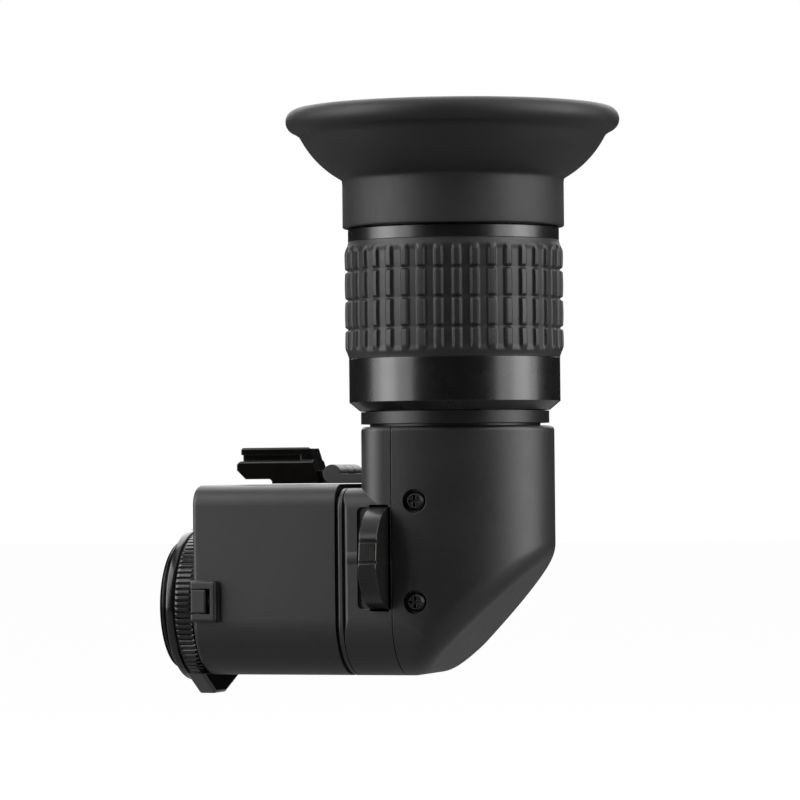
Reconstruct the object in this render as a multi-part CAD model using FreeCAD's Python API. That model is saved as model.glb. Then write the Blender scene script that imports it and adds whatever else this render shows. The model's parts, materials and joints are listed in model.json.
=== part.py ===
import FreeCAD, Part
import math
import os

# Right-angle viewing attachment for a camera's round eyepiece.
# Origin: centre of the camera thread, at the screw-on ring's seating face. +X runs along the
# light's way into the block, +Z up along the eyepiece, and -Y is the side with the lever.

Vec = FreeCAD.Vector
X = Vec(1, 0, 0)
Y = Vec(0, 1, 0)
Z = Vec(0, 0, 1)

# clearances
run_gap = 0.05          # radial, what turns or slides
face_gap = 0.15         # axial, beside what turns
seat_gap = 0.02         # radial, what is pressed or screwed in
clear_gap = 0.1         # round a screw that passes through, and between parts that just clear
seam = 0.15             # parting line between two covers
free_gap = 0.4          # past anything that swings

# sizes that drive the whole
half_width = 16.15      # half the width of block and body
block_len = 25.6        # objective block, along the light's way
block_top = 20.6        # block's top above the light's way
column_rise = 10.3      # column above the body's shelf
grip_len = 19.8         # rubber grip
wall = 1.5              # covers and block

# screw-on ring
ring_inset = 3.15
thread_step = 2.0
thread_pitch = 0.75
thread_land = 0.35
thread_depth = 0.35
thread_turns = 2
flange_len = 1.5
ring_edge = 0.35
knurl_step = 0.3
knurl_len = 3.1
knurl_count = 80
knurl_depth = 0.3
knurl_start = 0.2
hub_step = 3.8
hub_wall = 2.0
clamp_groove = 1.2
washer_len = 0.5
washer_rim = 0.8
hub_nut_len = 1.0
nut_rim = 0.9
flange_r = half_width - ring_inset
thread_r = flange_r - thread_step
knurl_r = flange_r - knurl_step
hub_r = flange_r - hub_step
light_r = hub_r - hub_wall

# mount plate and objective block
plate_len = 1.45
plate_step = 0.6
plate_edge = 0.3
lug_past = 2.1
lug_half = 5.0
lug_slope = 0.9
lug_lead = 1.6
lug_round = 0.5
shoulder_r = 3.4
corner_r = 0.8
front_wall = 3.0
plate_r = flange_r - plate_step
body_bottom = hub_r + nut_rim + 2 * clear_gap + wall
belly_r = body_bottom - lug_past
lug_drop = flange_r + lug_past
lug_foot = plate_r - lug_slope

# objective cell and lenses
cell_wall = 1.2
cell_seat = 0.4
cell_front = 0.7
cell_short = 1.1
cell_len = block_len - cell_short
retainer_len = 0.5
lens_len = 2.5
lens_bulge = 0.5
lip = 0.8
flange_plate = 1.6
boss_r = 2.2
boss_len = 3.4
boss_angles = (10, 90, 170)
seam_boss_r = 2.6
seam_boss_len = 8.0
seam_screw_down = 5.4
seam_screw_low = 3.6

# seam plate and body
plate_inset = 0.8
plate_round = 0.3
shadow_gap = 0.5
seam_plate_len = 0.8
shelf_step = 0.7
shelf_len = 2.0
column_corner = 5.0
column_bow = 1.6
front_len = 8.5
axis_inset = 1.3
oval_lead = 4.85
oval_past = 5.75
back_cover = 3.5
cut_round = 5.0
top_round = 0.8
tongue_len = 0.7
tongue_root = 0.5
shelf_top = block_top - shelf_step
column_top = shelf_top + column_rise
back_len = half_width + oval_past

# eyepiece tube, sleeve and grip
tube_side = 0.65
tube_wall = 1.4
tube_step = 0.4
tube_flat_wall = 0.9
tube_let_in = 5.2
stop_ledge = 2.1
stop_len = 3.7
neck_step = 2.0
neck_len = 2.7
groove_high = 0.5
groove_deep = 1.5
sleeve_wall = 3.95
sleeve_chamfer = 1.5
sleeve_edge = 0.25
spigot_step = 0.75
spigot_len = 2.4
lower_collar = 8.9
upper_collar = 2.3
cap_sink = 1.9
cap_step = 1.6
cap_len = 1.4
grip_step = 0.65
grip_skin = 0.75
grip_edge = 0.7
grip_band = 0.9
rib_count = 38
rib_groove = 1.35
rib_depth = 0.65
notch_rows = 3
notch_len = 0.75
notch_depth = 0.4
field_len = 3.5
field_bulge = 0.9
field_ring_len = 1.2
field_ring_wide = 1.4
tube_r = half_width - wall - tube_side
tube_bore = tube_r - tube_wall
tube_flange_r = tube_r + tube_step
tube_flat = tube_bore + tube_flat_wall
stop_r = tube_bore - stop_ledge
neck_r = tube_r + neck_step
sleeve_r = tube_r + sleeve_wall
spigot_r = sleeve_r - spigot_step
grip_r = sleeve_r + grip_step
cap_r = tube_r + cap_step
rim_bore = stop_r - clear_gap
neck_z = column_top + groove_high
neck_top = column_top + neck_len
tube_foot = column_top - tube_let_in
grip_low = neck_top + lower_collar
sleeve_shoulder = grip_low + grip_len + upper_collar
sleeve_top = sleeve_shoulder + spigot_len
tube_top = sleeve_shoulder - cap_sink

# eyecup
cup_step = 0.9
cup_straight = 8.2
cup_skin = 1.6
cup_thick = 2.6
cup_floor = 1.2
bowl_reach = 7.05
bowl_rise = 7.1
cup_bow = 0.8
lip_reach = 2.5
lip_rise = 2.9
lip_tube = 2.05
mouth_step = 0.6
cup_r = sleeve_r + cup_step
cup_low = sleeve_shoulder + clear_gap
cup_bowl_r = cup_r + bowl_reach
cup_bowl_z = cup_low + cup_straight + bowl_rise
lip_r = cup_bowl_r + lip_reach
lip_z = cup_bowl_z + lip_rise

# eye lens cell
barrel_len = 14.3
barrel_wall = 1.5
barrel_stop = 1.2
barrel_foot = 2.0
eye_lens_len = 4.0
eye_lens_bulge = 0.9
spacer_len = 2.5
spacer_wide = 0.9
eye_ring_len = 1.3
end_play = 0.2
eye_travel = 1.5
dioptre_turn = 60.0
pin_r = 0.8
pin_up = 7.2
pin_past = 1.6
groove_play = 0.12
groove_past = 4.0
groove_steps = 48
barrel_z = tube_top - barrel_len - eye_travel - end_play
pin_z = barrel_z + pin_up
cam_rise = 2 * eye_travel / math.radians(2 * dioptre_turn)

# prism
prism_inset = 0.7
ridge_inset = 0.8
prism_foot = 1.2
prism_tail = 1.0
cheek = 1.2
bracket_plate = 1.3
bracket_past = 3.1
hole_inset = 1.5
bracket_angles = (0, 75, -75)
bracket_screw_len = 3.2
clip_strip = 2.2
clip_strip_back = 1.0
clip_strip_thick = 0.5
prism_half = light_r - prism_inset
prism_leg = prism_half - prism_inset
ridge_offset = prism_leg - ridge_inset
cut_offset = ridge_offset + back_cover
bracket_hole = stop_r - hole_inset

# magnification lever
shaft_inset = 1.95
lever_down = 11.7
lever_r = 8.75
lever_len = 3.15
lever_land = 0.55
lever_inside = 6.0
flat_step = 0.3
lever_round = 0.3
grip_groove = 0.55
grip_groove_deep = 0.5
grip_pitch = 3.5
lever_tilt = 8.0
pocket_lead = 2.25
pocket_step = 0.2
pocket_round = 0.9
pocket_deep = 0.6
shaft_r = 0.7
bush_wall = 0.4
bearing_r = 2.2
lug_wide = 2.4
lug_thick = 2.2
lug_root = 1.6
arm_len = 1.3
arm_rim = 0.4
arm_foot = 2.9
arm_wide = 2.5
arm_narrow = 0.7
arm_screw_in = 1.6
arm_screw_apart = 1.6
arm_screw_r = 0.5
arm_screw_bite = 2.5
arm_head_r = 0.95
arm_head_len = 0.5
swing_lens_r = 4.3
swing_rim = 1.0
swing_lens_len = 1.7
swing_bulge = 0.3
lever_y = shaft_inset - half_width
lever_z = shelf_top - lever_down
grip_flat = lever_r - flat_step
pocket_low = lever_r - pocket_step

# flip clip
hinge_back = 3.9
knuckle_r = 1.6
knuckle_past = 3.0
knuckle_gap = 0.2
knuckle_foot = 1.0
arm_half = 1.6
arm_let_in = 6.5
arm_thick = 2.2
hinge_pin_r = 0.75
pin_short = 1.0
clip_lead = 3.4
clip_gap = 3.3
clip_half = 3.0
clip_lip_high = 3.95
clip_high = 6.25
clip_step = 0.6
clip_lip_drop = 1.6
clip_slot = 1.0
clip_setback = 0.6
clip_slot_deep = 1.6
clip_slot_end = 1.6
clip_under_len = 6.4
clip_undercut_high = 0.8
clip_lip_round = 0.5
clip_top_round = 0.45
clip_slant = 2.0
clip_end_slant = 2.4
clip_rest = 0.15
knuckle_half = clip_half + knuckle_past
clip_base = block_top + clip_rest
clip_lip = clip_base + clip_lip_high
clip_top = clip_base + clip_high
hinge_z = clip_base + knuckle_r

# lock button
button_z = 1.0
button_half = 2.05
button_len = 2.7
button_proud = 1.35
button_travel = 1.0
button_deep = 1.0
button_gap = 0.12
button_round = 0.3
frame_len = 4.7
frame_bar = 1.45
frame_end = 1.0
frame_proud = 1.4
frame_round = 0.5
lock_pin_r = 1.0
spring_wire = 0.3
spring_turns = 3
spring_side = 0.2
spring_end = 0.03

# screws
screw_back = 4.05
screw_above = 0.75
screw_below = 1.4
head_r = 1.6
head_len = 0.9
head_rim = 0.55
head_crown = 0.72
head_sink = 1.05
sink_r = 2.0
shank_r = 0.8
cell_screw_len = 4.0
seam_screw_len = 6.0
cover_screw_len = 2.4
cross_len = 2.0
cross_wide = 0.5
cross_deep = 0.5
cover_screw_high = lever_z + lever_r + screw_above
cover_screw_low = lever_z - lever_r + screw_below

# stations along X
thread_len = thread_turns * thread_pitch + thread_land
knurl_x = flange_len
plate_x = flange_len + knurl_len + face_gap
block_x = plate_x + plate_len
block_end = block_x + block_len
inner_wall_x = block_x + front_wall
hub_nut_x = inner_wall_x + washer_len + 2 * run_gap
hub_end = hub_nut_x + hub_nut_len
lock_x = block_x + front_wall / 2
seam_plate_x = block_end + shadow_gap
front_x = seam_plate_x + seam_plate_len + seam
column_x = front_x + shelf_len
parting_x = front_x + front_len
axis_x = front_x + half_width - axis_inset
back_centre_x = axis_x - oval_lead
bracket_end = axis_x + prism_leg + bracket_past
lever_x = parting_x - lever_len - lever_land
pocket_x = lever_x - pocket_lead
cover_screw_x = parting_x + screw_back
hinge_x = block_end - hinge_back
clip_left = block_x + clip_lead
clip_right = hinge_x - clip_gap
clip_undercut = clip_left + clip_under_len


def cyl(r, length, at, along=Z):
    return Part.makeCylinder(r, length, Vec(*at), along)


def ring(outer, inner, length, at, along=Z):
    at = Vec(*at)
    hole = Part.makeCylinder(inner, length, at, along)
    return Part.makeCylinder(outer, length, at, along).cut(hole)


def box(low, high):
    size = [high[i] - low[i] for i in range(3)]
    return Part.makeBox(size[0], size[1], size[2], Vec(*low))


def extruded(edges, way):
    return Part.Face(Part.Wire(edges)).extrude(way)


def polygon(points):
    corners = [Vec(*p) for p in points]
    return Part.Face(Part.makePolygon(corners + corners[:1]))


def turned(profile, at, along=Z):
    # profile is (radius, height) points, turned about the line through at
    face = polygon([(r, 0, h) for r, h in profile])
    solid = face.revolve(Vec(0, 0, 0), Z, 360)
    solid = Part.Solid(solid) if solid.ShapeType == "Shell" else solid
    turn = FreeCAD.Rotation(Z, along)
    solid.Placement = FreeCAD.Placement(Vec(*at), turn)
    return solid.copy()


def fused(first, *others):
    return first.multiFuse(list(others)).removeSplitter()


def rounded(shape, radius, wanted):
    edges = [e for e in shape.Edges if wanted(e)]
    return shape.makeFillet(radius, edges) if edges else shape


def middle(edge):
    return edge.valueAt((edge.FirstParameter + edge.LastParameter) / 2)


def arc(a, b, c):
    return Part.Arc(Vec(*a), Vec(*b), Vec(*c)).toShape()


def line(a, b):
    return Part.makeLine(Vec(*a), Vec(*b))


def arch(x0, x1, inset, top):
    # The section shared by block, seam plate and body: big radii below, small ones above.
    w = half_width - inset
    low = -body_bottom + inset
    rb = belly_r - inset
    rt = max(shoulder_r - inset, corner_r)
    kb = rb * (1 - math.sqrt(0.5))
    kt = rt * (1 - math.sqrt(0.5))
    edges = []
    for s in (1, -1):
        edges.append(arc((x0, s * (w - rb), low), (x0, s * (w - kb), low + kb), (x0, s * w, low + rb)))
        edges.append(line((x0, s * w, low + rb), (x0, s * w, top - rt)))
        edges.append(arc((x0, s * w, top - rt), (x0, s * (w - kt), top - kt), (x0, s * (w - rt), top)))
    edges.append(line((x0, w - rb, low), (x0, rb - w, low)))
    edges.append(line((x0, w - rt, top), (x0, rt - w, top)))
    return extruded(Part.__sortEdges__(edges), Vec(x1 - x0, 0, 0))


def half_oval(z, w, long):
    oval = Part.Ellipse(Vec(back_centre_x, 0, z), max(long, w), min(long, w))
    return oval.toShape(-math.pi / 2, math.pi / 2)


def plan(x_front, inset, z0, z1, corner, bow):
    # Outline seen from above: flat or bowed front, straight sides, half-oval back.
    w = half_width - inset
    back = half_oval(z0, w, back_len - inset)
    k = corner * (1 - math.sqrt(0.5))
    edges = [back]
    for s in (1, -1):
        edges.append(line((back_centre_x, s * w, z0), (x_front + corner, s * w, z0)))
        edges.append(arc((x_front + corner, s * w, z0), (x_front + k, s * (w - k), z0),
                         (x_front, s * (w - corner), z0)))
    if bow:
        edges.append(arc((x_front, w - corner, z0), (x_front - bow, 0, z0), (x_front, corner - w, z0)))
    else:
        edges.append(line((x_front, w - corner, z0), (x_front, corner - w, z0)))
    return extruded(Part.__sortEdges__(edges), Vec(0, 0, z1 - z0))


def below_cut(offset):
    # Everything under the sloping back, to be cut away.
    far = 4 * back_len
    x = axis_x + offset
    points = [(x - far, -far, -far), (x + far, -far, far), (x + far, -far, -far)]
    return polygon(points).extrude(Vec(0, 2 * far, 0))


def sloped(edge, offset):
    # Edges that lie in the plane of the sloping cut.
    ends = [edge.valueAt(edge.FirstParameter), middle(edge), edge.valueAt(edge.LastParameter)]
    return all(abs(p.x - axis_x - p.z - offset) < 0.02 for p in ends)


def body_form(inset):
    # The body's outside with inset 0, or the same form set in by a wall.
    low = -body_bottom + inset
    high = column_top - inset
    slope = cut_offset - inset * math.sqrt(2)
    lower = plan(front_x + inset, inset, low, shelf_top - inset, corner_r, 0)
    lower = lower.common(arch(front_x + inset, front_x + 2 * back_len, inset, shelf_top - inset))
    column = plan(column_x + inset, inset, low + belly_r, high, column_corner - inset, column_bow)
    upper = column.common(arch(front_x, front_x + 2 * back_len, inset, 2 * column_top))
    form = fused(lower, upper).cut(below_cut(slope))
    form = rounded(form, cut_round - inset, lambda e: sloped(e, slope))
    if inset == 0:
        form = rounded(form, top_round, lambda e: abs(middle(e).z - column_top) < 0.01)
    return form


def screw(at, along, length):
    # A cross-head screw; at is the middle of the head's top.
    out = Vec(*at)
    into = Vec(*along)
    flat = head_len * head_rim
    shape = Part.makeCylinder(head_r, flat, out + into * (head_len - flat), into)
    crown = Part.makeCone(head_r * head_crown, head_r, head_len - flat, out, into)
    shape = fused(shape, crown, Part.makeCylinder(shank_r, length, out + into * head_len, into))
    side = Y if abs(into.y) < 0.5 else X
    other = into.cross(side)
    for a, b in ((side, other), (other, side)):
        corner = out - a * (cross_len / 2) - b * (cross_wide / 2)
        slot = Part.Face(Part.makePolygon([
            corner, corner + a * cross_len, corner + a * cross_len + b * cross_wide,
            corner + b * cross_wide, corner])).extrude(into * cross_deep)
        shape = shape.cut(slot)
    return shape


def lens(r, length, at, along, bulge=lens_bulge):
    # A lens with both faces bulging; at is the middle of its first face.
    crown = (r * r + bulge * bulge) / (2 * bulge)
    half = math.asin(r / crown) / 2
    mid_r = crown * math.sin(half)
    mid_h = crown * (1 - math.cos(half))
    edges = [arc((0, 0, 0), (mid_r, 0, mid_h), (r, 0, bulge))]
    edges.append(line((r, 0, bulge), (r, 0, length - bulge)))
    edges.append(arc((r, 0, length - bulge), (mid_r, 0, length - mid_h), (0, 0, length)))
    edges.append(line((0, 0, length), (0, 0, 0)))
    shape = Part.Face(Part.Wire(edges)).revolve(Vec(0, 0, 0), Z, 360)
    shape.Placement = FreeCAD.Placement(Vec(*at), FreeCAD.Rotation(Z, along))
    return shape.copy()


# ---- screw-on ring ----

def mounting_ring():
    outline = [(light_r, -thread_len)]
    for turn in range(thread_turns, 0, -1):
        start = -turn * thread_pitch
        valley = start + (thread_pitch - thread_land) / 2
        outline += [(thread_r, start - thread_land), (thread_r, start)]
        outline += [(thread_r - thread_depth, valley)]
    outline += [(thread_r, -thread_land), (thread_r, 0)]
    edge = ring_edge
    outline += [(flange_r - edge, 0), (flange_r, edge), (flange_r, flange_len - edge)]
    outline += [(flange_r - edge, flange_len), (knurl_r, flange_len)]
    outline += [(knurl_r, knurl_x + knurl_len), (hub_r, knurl_x + knurl_len)]
    half = lock_pin_r + free_gap / 2
    outline += [(hub_r, lock_x - half), (hub_r - clamp_groove, lock_x - half)]
    outline += [(hub_r - clamp_groove, lock_x + half), (hub_r, lock_x + half)]
    outline += [(hub_r, hub_end), (light_r, hub_end)]
    shape = turned(outline, (0, 0, 0), X)
    tooth = 2 * math.pi * knurl_r / knurl_count
    at = knurl_x + knurl_start
    out = knurl_r + clear_gap
    cut = polygon([(at, -tooth / 4, out), (at, tooth / 4, out), (at, 0, knurl_r - knurl_depth)])
    cut = cut.extrude(Vec(knurl_len, 0, 0))
    cuts = []
    for i in range(knurl_count):
        one = cut.copy()
        one.rotate(Vec(0, 0, 0), X, 360.0 * i / knurl_count)
        cuts.append(one)
    return shape.cut(Part.makeCompound(cuts))


def hub_nut():
    return ring(hub_r + nut_rim, hub_r + seat_gap, hub_nut_len, (hub_nut_x, 0, 0), X)


def friction_washer():
    at = (inner_wall_x + run_gap, 0, 0)
    return ring(hub_r + washer_rim, hub_r + seat_gap, washer_len, at, X)


# ---- objective block ----

def mount_plate():
    disc = cyl(plate_r, plate_len, (plate_x, 0, 0), X)
    disc = disc.common(arch(plate_x, block_x, plate_edge, block_top))
    foot = 2 * lug_round - plate_r
    points = [(-lug_foot, foot), (-lug_half, -lug_drop), (0, -lug_drop), (lug_foot - 4 * lug_round, foot)]
    lug = polygon([(knurl_x + lug_lead, y, z) for y, z in points])
    lug = lug.extrude(Vec(block_x - knurl_x - lug_lead, 0, 0))
    lug = rounded(lug, lug_round, lambda e: middle(e).z < foot - lug_round)
    shape = fused(disc, lug)
    turning = cyl(flange_r + face_gap + run_gap, plate_x, (0, 0, 0), X)
    hole = cyl(hub_r + run_gap, 4 * plate_len, (plate_x - plate_len, 0, 0), X)
    return shape.cut(turning).cut(hole)


def cell_boss_places():
    far = hub_r + nut_rim + free_gap + boss_r
    return [(far * math.cos(math.radians(a)), far * math.sin(math.radians(a))) for a in boss_angles]


def seam_screw_places():
    y = half_width - wall - seam_boss_r + free_gap
    return [(s * y, z) for s in (1, -1) for z in (block_top - seam_screw_down, -seam_screw_low)]


def objective_block():
    shape = arch(block_x, block_end, 0, block_top)
    shape = rounded(shape, corner_r, lambda e: abs(middle(e).x - block_x) < 0.01)
    cavity = arch(inner_wall_x, block_end, wall, block_top - wall)
    shape = shape.cut(cavity)
    extras = [cyl(boss_r, boss_len, (inner_wall_x, y, z), X) for y, z in cell_boss_places()]
    boss_x = block_end - seam_boss_len
    extras += [cyl(seam_boss_r, seam_boss_len, (boss_x, y, z), X) for y, z in seam_screw_places()]
    inside = arch(block_x, block_end, wall / 2, block_top - wall / 2)
    shape = fused(shape, *[e.common(inside) for e in extras])
    # raised frame round the lock button, open towards the ring
    z0 = button_z - button_half - frame_bar
    z1 = button_z + button_half + frame_bar
    x1 = block_x + frame_len
    y0 = -half_width - frame_proud
    frame = box((block_x, y0, z0), (x1, 2 * clear_gap - half_width, z1))
    frame = rounded(frame, frame_round, lambda e: middle(e).y < y0 + 0.01 or
                    (abs(middle(e).x - x1) < 0.01 and abs(middle(e).y - y0) > 0.1 and
                     middle(e).y < -half_width))
    half = button_half + button_gap
    gap = box((block_x - 1, y0 - 1, button_z - half), (x1 - frame_end, -half_width, button_z + half))
    frame = frame.cut(gap)
    shape = fused(shape, frame)
    # pocket, spring seat and guide hole of the button
    pocket = box((block_x - 1, -half_width - 0.01, button_z - half),
                 (block_x + button_len + 2 * face_gap, button_deep - half_width, button_z + half))
    guide = cyl(lock_pin_r + run_gap, half_width, (lock_x, -half_width - clear_gap, button_z), Y)
    hole = cyl(hub_r + run_gap, front_wall + 2, (block_x - 1, 0, 0), X)
    shape = shape.cut(pocket).cut(guide).cut(hole)
    for y, z in cell_boss_places():
        shape = shape.cut(cyl(shank_r + seat_gap, boss_len + 1, (inner_wall_x, y, z), X))
    for y, z in seam_screw_places():
        shape = shape.cut(cyl(shank_r + seat_gap, seam_screw_len, (block_end - seam_screw_len, y, z), X))
    return shape


def cell_outer():
    return light_r - run_gap


def objective_cell():
    outer = cell_outer()
    inner = outer - cell_wall
    tube = ring(outer, inner, cell_len, (cell_front, 0, 0), X)
    seat = outer - cell_seat
    depth = retainer_len + lens_len
    tube = tube.cut(cyl(seat, depth, (cell_front, 0, 0), X))
    tube = tube.cut(cyl(seat, depth, (cell_front + cell_len - depth, 0, 0), X))
    at = inner_wall_x + boss_len
    plate = cyl(half_width - wall - 2 * clear_gap, flange_plate, (at, 0, 0), X)
    plate = plate.common(arch(at, at + flange_plate, wall + clear_gap, block_top - wall - clear_gap))
    plate = plate.cut(cyl(inner, flange_plate, (at, 0, 0), X))
    shape = fused(tube, plate)
    for y, z in cell_boss_places():
        shape = shape.cut(cyl(shank_r + clear_gap, flange_plate, (at, y, z), X))
    return shape


def cell_rings():
    outer = cell_outer() - cell_seat
    fit = outer - seat_gap
    rings = {}
    front = cell_front + retainer_len
    end = cell_front + cell_len - retainer_len
    rings["objective_lens"] = lens(fit, lens_len, (front, 0, 0), X)
    rings["objective_retainer"] = ring(fit, outer - lip, retainer_len, (cell_front, 0, 0), X)
    rings["relay_lens"] = lens(fit, lens_len, (end - lens_len, 0, 0), X)
    rings["relay_retainer"] = ring(fit, outer - lip, retainer_len, (end, 0, 0), X)
    return rings


def cell_screws():
    x = inner_wall_x + boss_len + flange_plate + head_len
    parts = [screw((x, y, z), (-1, 0, 0), cell_screw_len) for y, z in cell_boss_places()]
    return Part.makeCompound(parts)


# ---- lock button ----

def cap_back():
    return button_deep - half_width - button_travel - clear_gap


def lock_button():
    x0 = block_x + face_gap
    y0 = -half_width - button_proud
    y1 = cap_back()
    cap = box((x0, y0, button_z - button_half), (x0 + button_len, y1, button_z + button_half))
    cap = rounded(cap, button_round, lambda e: middle(e).y < y0 + 0.01)
    tip = -(hub_r + run_gap + clear_gap)
    pin = cyl(lock_pin_r, tip - y1, (lock_x, y1, button_z), Y)
    return fused(cap, pin)


def button_spring():
    # A short coil round the pin, between the cap and the pocket's floor.
    y0 = cap_back() + spring_end
    y1 = button_deep - half_width - spring_end
    height = y1 - y0 - spring_wire
    coil_r = lock_pin_r + spring_side + spring_wire / 2
    pitch = height / spring_turns
    helix = Part.makeHelix(pitch, height, coil_r)
    wire = Part.Wire(Part.makeCircle(spring_wire / 2, Vec(coil_r, 0, 0), Y))
    coil = Part.Wire(helix.Edges).makePipeShell([wire], True, True)
    coil = coil if coil.ShapeType == "Solid" else Part.Solid(coil)
    coil.rotate(Vec(0, 0, 0), X, -90)
    coil.translate(Vec(lock_x, y0 + spring_wire / 2, button_z))
    return coil.copy()


# ---- body ----

def seam_plate():
    end = seam_plate_x + seam_plate_len
    shape = arch(seam_plate_x, end, 0, shelf_top)
    shape = rounded(shape, plate_round, lambda e: abs(middle(e).x - seam_plate_x) < 0.01)
    land = arch(block_end, seam_plate_x, plate_inset, shelf_top - plate_inset)
    back = arch(end, front_x, plate_inset / 2, shelf_top - plate_inset / 2)
    shape = fused(shape, land, back)
    shape = shape.cut(cyl(cell_outer(), front_x, (block_end - 1, 0, 0), X))
    for y, z in seam_screw_places():
        shape = shape.cut(cyl(shank_r + clear_gap, front_len, (block_end - 1, y, z), X))
    return shape


def seam_screws():
    x = front_x + wall + head_len
    return Part.makeCompound([screw((x, y, z), (-1, 0, 0), seam_screw_len) for y, z in seam_screw_places()])


def cover_screw_places():
    return [(cover_screw_x, s, z) for s in (-1, 1) for z in (cover_screw_high, cover_screw_low)]


def parted(form, before):
    far = 3 * back_len
    if before:
        return form.common(box((-far, -far, -far), (parting_x, far, far)))
    return form.common(box((parting_x + seam, -far, -far), (2 * far, far, far)))


def knuckle(side):
    low, high = sorted((side * (arm_half + knuckle_gap), side * knuckle_half))
    end = column_x + knuckle_foot
    barrel = cyl(knuckle_r, high - low, (hinge_x, low, hinge_z), Y)
    foot = box((hinge_x, low, clip_base), (end, high, hinge_z))
    heel = box((front_x + clear_gap, low, shelf_top - wall / 3), (end, high, clip_base + clear_gap))
    return fused(barrel, foot, heel)


def screw_lug(side, z, away):
    # A tab that reaches from the front shell into the cover, beside the lever's path.
    y0 = half_width - wall - run_gap
    low, high = sorted((side * y0, side * (y0 - lug_thick)))
    grown = sorted((side * (y0 + wall / 5), side * (y0 - lug_thick)))
    end = cover_screw_x + lug_wide
    root = lever_z + away * (lever_r + free_gap)
    root_z = sorted((root, root + away * 1.25 * lug_wide))
    tab_z = sorted((root_z[0], root_z[1], z - lug_wide, z + lug_wide))
    tab = box((parting_x - clear_gap, low, tab_z[0]), (end, high, tab_z[-1]))
    foot = box((parting_x - lug_root * lug_wide, grown[0], root_z[0]),
               (parting_x - run_gap, grown[1], root_z[1]))
    return fused(tab, foot)


def bearing():
    # Holds the lever's bush beside the slot, against the near wall.
    long = lever_x - face_gap - front_x - wall / 2
    at = (front_x + wall / 2, lever_y, lever_z)
    back = box((at[0], wall / 2 - half_width, lever_z - bearing_r),
               (at[0] + long, lever_y, lever_z + bearing_r))
    return fused(cyl(bearing_r, long, at, X), back)


def tube_room():
    # The eyepiece tube's seat: the tube, its foot flange, and the flat that keeps it from turning.
    seat = cyl(tube_r + seat_gap, 3 * wall, (axis_x, 0, column_top - 2 * wall))
    low = tube_foot - bracket_plate - head_len - free_gap
    foot = cyl(tube_flange_r + seat_gap, column_top - wall - low, (axis_x, 0, low))
    far = 3 * half_width
    keep = box((axis_x - tube_flat - seat_gap, -far, -far), (axis_x + far, far, 3 * far))
    return fused(seat, foot).common(keep)


def front_shell():
    shell = parted(body_form(0), True).cut(body_form(wall))
    tongue = body_form(wall / 2 + run_gap).cut(body_form(wall))
    tongue = tongue.common(box((parting_x - tongue_root, -half_width, -body_bottom),
                               (parting_x + tongue_len, half_width, column_top)))
    near = body_form(wall + run_gap)
    extras = [tongue, knuckle(1), knuckle(-1), bearing()]
    for side in (1, -1):
        for z, away in ((cover_screw_high, 1), (cover_screw_low, -1)):
            lug = screw_lug(side, z, away)
            inner = lug.common(near)
            foot = lug.common(box((front_x, -half_width + wall / 2, -body_bottom),
                                  (parting_x - run_gap, half_width - wall / 2, column_top)))
            extras.append(fused(inner, foot))
    shell = fused(shell, *extras)
    # pocket and slot of the lever
    low, high = lever_z - pocket_low, lever_z + pocket_low
    pocket = box((pocket_x, -half_width - 1, low), (parting_x - clear_gap, pocket_deep - half_width, high))
    pocket = rounded(pocket, pocket_round, lambda e: abs(middle(e).x - pocket_x) < 0.01 and
                     abs(middle(e).z - lever_z) > pocket_low - 0.01)
    reach = lever_r + face_gap
    slot = box((lever_x - face_gap, -half_width - 1, lever_z - reach),
               (lever_x + lever_len + face_gap, 3 * wall - half_width, lever_z + reach))
    shell = shell.cut(pocket).cut(slot)
    bush_r = shaft_r + bush_wall + seat_gap
    shell = shell.cut(cyl(bush_r, lever_x - front_x, (front_x + wall, lever_y, lever_z), X))
    # light hole, eyepiece hole, screw holes and hinge pin hole
    shell = shell.cut(cyl(cell_outer(), 2 * wall, (front_x - wall / 2, 0, 0), X))
    shell = shell.cut(tube_room())
    for y, z in seam_screw_places():
        shell = shell.cut(cyl(shank_r + clear_gap, 4 * wall, (front_x - wall, y, z), X))
    for x, side, z in cover_screw_places():
        at = (x, side * half_width, z)
        shell = shell.cut(cyl(shank_r + seat_gap, 4 * wall, at, Vec(0, -side, 0)))
    return shell.cut(pin_form(hinge_pin_r + seat_gap))


def rear_cover():
    shell = parted(body_form(0), False).cut(body_form(wall))
    rebate = body_form(wall / 2).common(box((parting_x, -half_width, -body_bottom),
                                            (parting_x + tongue_len + clear_gap, half_width, column_top)))
    shell = shell.cut(rebate)
    for x, side, z in cover_screw_places():
        at = (x, side * half_width, z)
        into = Vec(0, -side, 0)
        shell = shell.cut(cyl(sink_r, head_sink, at, into))
        shell = shell.cut(cyl(shank_r + clear_gap, 2 * wall, at, into))
    return shell.cut(tube_room())


def cover_screws():
    parts = []
    for x, side, z in cover_screw_places():
        top = half_width - (head_sink - head_len)
        parts.append(screw((x, side * top, z), (0, -side, 0), cover_screw_len))
    return Part.makeCompound(parts)


# ---- prism ----

def roof_prism():
    front = axis_x - prism_leg
    top = prism_leg
    ridge = axis_x + ridge_offset
    low = front - ridge
    points = [(front, -prism_half, low), (front, -prism_half, top), (top + ridge, -prism_half, top)]
    wedge = polygon(points).extrude(Vec(0, 2 * prism_half, 0))
    # a square bar on its edge, its edge along the roof's ridge
    size = 6 * prism_half
    bar = Part.makeBox(size, size, 8 * prism_half)
    bar.rotate(Vec(0, 0, 0), Z, -45)
    bar.translate(Vec(-size * math.sqrt(2), 0, -4 * prism_half))
    bar.rotate(Vec(0, 0, 0), Y, 45)
    bar.translate(Vec(ridge, 0, 0))
    shape = wedge.common(bar)
    keep = box((front, -prism_half, wall + prism_foot - body_bottom),
               (bracket_end - prism_tail, prism_half, top))
    return shape.common(keep)


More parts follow.
